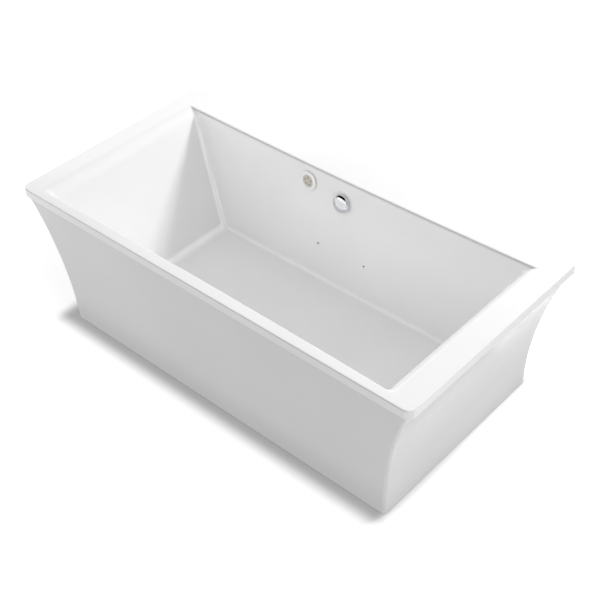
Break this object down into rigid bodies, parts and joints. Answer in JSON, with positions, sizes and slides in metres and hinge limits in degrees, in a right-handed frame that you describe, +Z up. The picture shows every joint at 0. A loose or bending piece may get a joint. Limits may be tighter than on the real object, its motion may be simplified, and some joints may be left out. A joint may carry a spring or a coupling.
{
  "type": "freestanding bathtub",
  "caption": "Rectangular freestanding air bath: moulded basin and deck over a shroud with flared ends, rotary overflow control and lifting stopper.",
  "frame": {"origin": "on the room floor, under the middle of the rim", "axes": "+X along the tub, +Y towards the long wall with the overflow and the wide deck, +Z up"},
  "size_m": [1.829, 0.914, 0.606],
  "materials": {
    "acrylic": "glossy moulded white acrylic",
    "chrome": "polished chrome plate",
    "white_plastic": "glossy moulded white ABS",
    "face_plastic": "satin moulded warm grey ABS",
    "button_plastic": "satin moulded dark grey ABS",
    "black_plastic": "moulded black polypropylene",
    "pipe_plastic": "extruded white PVC",
    "rubber": "moulded black rubber",
    "galvanised": "galvanised steel",
    "board": "birch plywood, sealed",
    "circuit": "solder-masked circuit board"
  },
  "bodies": {
    "tub": {"basin": "acrylic", "shroud": "acrylic", "flange_screws": "galvanised", "base_board": "board", "front_rail": "galvanised", "rear_rail": "galvanised", "left_crossbar": "galvanised", "right_crossbar": "galvanised", "lock_nuts": "galvanised", "drain_flange": "chrome", "drain_gasket": "rubber", "drain_shoe": "black_plastic", "waste_pipe": "pipe_plastic", "waste_tee": "black_plastic", "tailpiece": "pipe_plastic", "slip_nuts": "pipe_plastic", "overflow_flange": "chrome", "overflow_gasket": "rubber", "overflow_elbow": "black_plastic", "overflow_tube": "pipe_plastic", "drive_cable": "black_plastic", "control_bezel": "white_plastic", "control_gasket": "rubber", "control_face": "face_plastic", "control_housing": "black_plastic", "control_board": "circuit", "control_nut": "black_plastic", "control_lead": "rubber", "rear_jets": "white_plastic", "front_jets": "white_plastic", "jet_nuts": "black_plastic", "rear_air_pipe": "pipe_plastic", "front_air_pipe": "pipe_plastic", "air_tee": "black_plastic", "check_valve": "pipe_plastic", "air_hose": "black_plastic", "blower": "black_plastic", "blower_mounts": "rubber", "equipment_tray": "galvanised", "control_box": "black_plastic", "supply_gland": "rubber"},
    "knob": {"overflow_knob": "chrome", "cable_drum": "black_plastic"},
    "stopper": {"stopper_cap": "chrome", "stopper_seal": "rubber", "stopper_stem": "chrome"},
    "front_left_foot": {"front_left_stud": "galvanised", "front_left_pad": "rubber"},
    "front_right_foot": {"front_right_stud": "galvanised", "front_right_pad": "rubber"},
    "rear_left_foot": {"rear_left_stud": "galvanised", "rear_left_pad": "rubber"},
    "rear_right_foot": {"rear_right_stud": "galvanised", "rear_right_pad": "rubber"},
    "button_1": {"control_button_1": "button_plastic"},
    "button_2": {"control_button_2": "button_plastic"},
    "button_3": {"control_button_3": "button_plastic"},
    "button_4": {"control_button_4": "button_plastic"},
    "button_5": {"control_button_5": "button_plastic"}
  },
  "joints": [
    {"name": "knob_turn", "type": "hinge", "parent": "tub", "child": "knob", "pos_m": [0, 0.31177, 0.51], "axis": [0, -0.992, 0.1264], "range_deg": [0, 90]},
    {"name": "stopper_lift", "type": "slide", "parent": "tub", "child": "stopper", "axis": [0, 0, 1], "range_m": [0, 0.01]},
    {"name": "front_left_adjust", "type": "slide", "parent": "tub", "child": "front_left_foot", "axis": [0, 0, 1], "range_m": [-0.012, 0.006]},
    {"name": "front_right_adjust", "type": "slide", "parent": "tub", "child": "front_right_foot", "axis": [0, 0, 1], "range_m": [-0.012, 0.006]},
    {"name": "rear_left_adjust", "type": "slide", "parent": "tub", "child": "rear_left_foot", "axis": [0, 0, 1], "range_m": [-0.012, 0.006]},
    {"name": "rear_right_adjust", "type": "slide", "parent": "tub", "child": "rear_right_foot", "axis": [0, 0, 1], "range_m": [-0.012, 0.006]},
    {"name": "button_1_press", "type": "slide", "parent": "tub", "child": "button_1", "axis": [0, 0.992, -0.1264], "range_m": [0, 0.001], "stiffness_N_per_m": 800, "springref_m": -0.0005},
    {"name": "button_2_press", "type": "slide", "parent": "tub", "child": "button_2", "axis": [0, 0.992, -0.1264], "range_m": [0, 0.001], "stiffness_N_per_m": 800, "springref_m": -0.0005},
    {"name": "button_3_press", "type": "slide", "parent": "tub", "child": "button_3", "axis": [0, 0.992, -0.1264], "range_m": [0, 0.001], "stiffness_N_per_m": 800, "springref_m": -0.0005},
    {"name": "button_4_press", "type": "slide", "parent": "tub", "child": "button_4", "axis": [0, 0.992, -0.1264], "range_m": [0, 0.001], "stiffness_N_per_m": 800, "springref_m": -0.0005},
    {"name": "button_5_press", "type": "slide", "parent": "tub", "child": "button_5", "axis": [0, 0.992, -0.1264], "range_m": [0, 0.001], "stiffness_N_per_m": 800, "springref_m": -0.0005}
  ],
  "couplings": [
    {"joint": "stopper_lift", "follows": "knob_turn", "m_per_rad": 0.006366}
  ]
}
